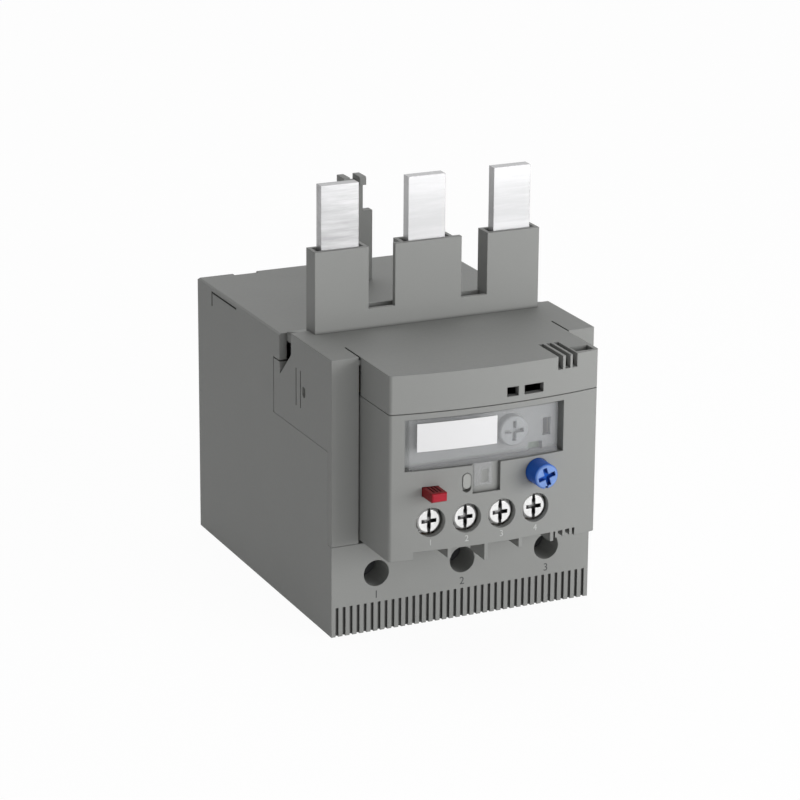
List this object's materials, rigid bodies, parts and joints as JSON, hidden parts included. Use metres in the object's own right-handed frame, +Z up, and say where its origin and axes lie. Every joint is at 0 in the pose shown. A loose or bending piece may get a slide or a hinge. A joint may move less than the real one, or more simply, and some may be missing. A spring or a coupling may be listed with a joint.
{
  "type": "thermal overload relay",
  "caption": "Thermal overload relay with contact tabs and a hook on top, a clear window over a setting dial, a reset knob and screw terminals.",
  "frame": {"origin": "centre of the lower housing's flat bottom face", "axes": "+X to the right seen from the front, +Y from the front to the rear, +Z up towards the tabs"},
  "size_m": [0.07, 0.1106, 0.1069],
  "materials": {
    "housing_grey": "fine moulded grain",
    "base_grey": "fine moulded grain",
    "clear_window": "clear polycarbonate",
    "label_white": "matt printed label",
    "dial_grey": "satin",
    "knob_blue": "satin gloss",
    "button_red": "satin gloss",
    "slide_grey": "fine moulded grain",
    "flag_green": "matt",
    "tinned_copper": "tinned and lightly brushed",
    "zinc_steel": "bright zinc plate",
    "spring_steel": "drawn wire",
    "bimetal": "rolled strip",
    "heater_alloy": "rolled wire",
    "contact_copper": "rolled copper alloy",
    "frame_cream": "moulded",
    "lever_black": "moulded"
  },
  "bodies": {
    "housing": {"base_housing": "base_grey", "top_housing": "housing_grey", "front_panel": "housing_grey", "mounting_hook": "housing_grey", "mechanism_frame": "frame_cream", "lever_pin": "zinc_steel", "aux_terminal_screws": "zinc_steel", "aux_clamp_plates": "zinc_steel", "aux_terminal_strips": "contact_copper", "main_terminal_screws": "zinc_steel", "reset_spring": "spring_steel", "stop_spring": "spring_steel", "line_tab_1": "tinned_copper", "line_tab_2": "tinned_copper", "line_tab_3": "tinned_copper", "heater_winding_1": "heater_alloy", "heater_winding_2": "heater_alloy", "heater_winding_3": "heater_alloy", "load_bar_1": "tinned_copper", "load_bar_2": "tinned_copper", "load_bar_3": "tinned_copper", "box_clamp_1": "zinc_steel", "box_clamp_2": "zinc_steel", "box_clamp_3": "zinc_steel"},
    "window": {"setting_window": "clear_window", "label_plate": "label_white"},
    "dial": {"setting_dial": "dial_grey", "setting_cam": "lever_black"},
    "reset": {"reset_plunger": "lever_black"},
    "knob": {"reset_knob": "knob_blue"},
    "stop": {"stop_button": "button_red"},
    "test": {"test_slide": "slide_grey"},
    "flag": {"trip_flag": "flag_green"},
    "carrier": {"contact_carrier": "lever_black", "nc_contact_bridge": "contact_copper", "no_contact_bridge": "contact_copper"},
    "lever": {"trip_lever": "lever_black"},
    "trip": {"trip_slide": "frame_cream"},
    "differential": {"differential_slide": "frame_cream"},
    "bimetal_1": {"bimetal_strip_1": "bimetal"},
    "bimetal_2": {"bimetal_strip_2": "bimetal"},
    "bimetal_3": {"bimetal_strip_3": "bimetal"}
  },
  "joints": [
    {"name": "window_hinge", "type": "hinge", "parent": "housing", "child": "window", "pos_m": [-0.0221, -0.06002, 0.0529], "axis": [0, 0, -1], "range_deg": [0, 90]},
    {"name": "dial_turn", "type": "hinge", "parent": "housing", "child": "dial", "pos_m": [0.0051, -0.0578, 0.0528], "axis": [0, -1, 0], "range_deg": [-135, 135]},
    {"name": "reset_push", "type": "slide", "parent": "housing", "child": "reset", "axis": [0, 1, 0], "range_m": [0, 0.0025], "stiffness_N_per_m": 400, "springref_m": -0.002, "deforming": ["reset_spring"]},
    {"name": "knob_turn", "type": "hinge", "parent": "reset", "child": "knob", "pos_m": [0.0104, -0.0633, 0.04275], "axis": [0, -1, 0], "range_deg": [0, 90]},
    {"name": "stop_push", "type": "slide", "parent": "housing", "child": "stop", "axis": [0, 1, 0], "range_m": [0, 0.002], "stiffness_N_per_m": 400, "springref_m": -0.002, "deforming": ["stop_spring"]},
    {"name": "test_push", "type": "slide", "parent": "housing", "child": "test", "axis": [0, 0, -1], "range_m": [0, 0.0008], "stiffness_N_per_m": 150, "springref_m": -0.002},
    {"name": "trip_travel", "type": "slide", "parent": "housing", "child": "trip", "axis": [1, 0, 0], "range_m": [0, 0.0016], "stiffness_N_per_m": 200, "springref_m": -0.002},
    {"name": "differential_travel", "type": "slide", "parent": "housing", "child": "differential", "axis": [1, 0, 0], "range_m": [0, 0.0016]},
    {"name": "bimetal_bend_1", "type": "hinge", "parent": "housing", "child": "bimetal_1", "pos_m": [-0.0231, -0.0033, 0.057], "axis": [0, -1, 0], "range_deg": [0, 3.5]},
    {"name": "bimetal_bend_2", "type": "hinge", "parent": "housing", "child": "bimetal_2", "pos_m": [0, -0.0033, 0.057], "axis": [0, -1, 0], "range_deg": [0, 3.5]},
    {"name": "bimetal_bend_3", "type": "hinge", "parent": "housing", "child": "bimetal_3", "pos_m": [0.0231, -0.0033, 0.057], "axis": [0, -1, 0], "range_deg": [0, 3.5]},
    {"name": "lever_turn", "type": "hinge", "parent": "housing", "child": "lever", "pos_m": [0.0045, -0.0293, 0.04], "axis": [0, 0, -1], "range_deg": [0, 6.2]},
    {"name": "carrier_travel", "type": "slide", "parent": "housing", "child": "carrier", "axis": [0, 1, 0], "range_m": [0, 0.0011]},
    {"name": "flag_travel", "type": "slide", "parent": "housing", "child": "flag", "axis": [0, 0, 1], "range_m": [0, 0.0024]}
  ],
  "couplings": [
    {"joint": "differential_travel", "follows": "trip_travel", "ratio": 1},
    {"joint": "bimetal_bend_1", "follows": "trip_travel", "rad_per_m": 37.7},
    {"joint": "bimetal_bend_2", "follows": "trip_travel", "rad_per_m": 37.7},
    {"joint": "bimetal_bend_3", "follows": "trip_travel", "rad_per_m": 37.7},
    {"joint": "lever_turn", "follows": "trip_travel", "rad_per_m": 66.67},
    {"joint": "carrier_travel", "follows": "trip_travel", "ratio": 0.6875},
    {"joint": "flag_travel", "follows": "trip_travel", "ratio": 1.5}
  ]
}
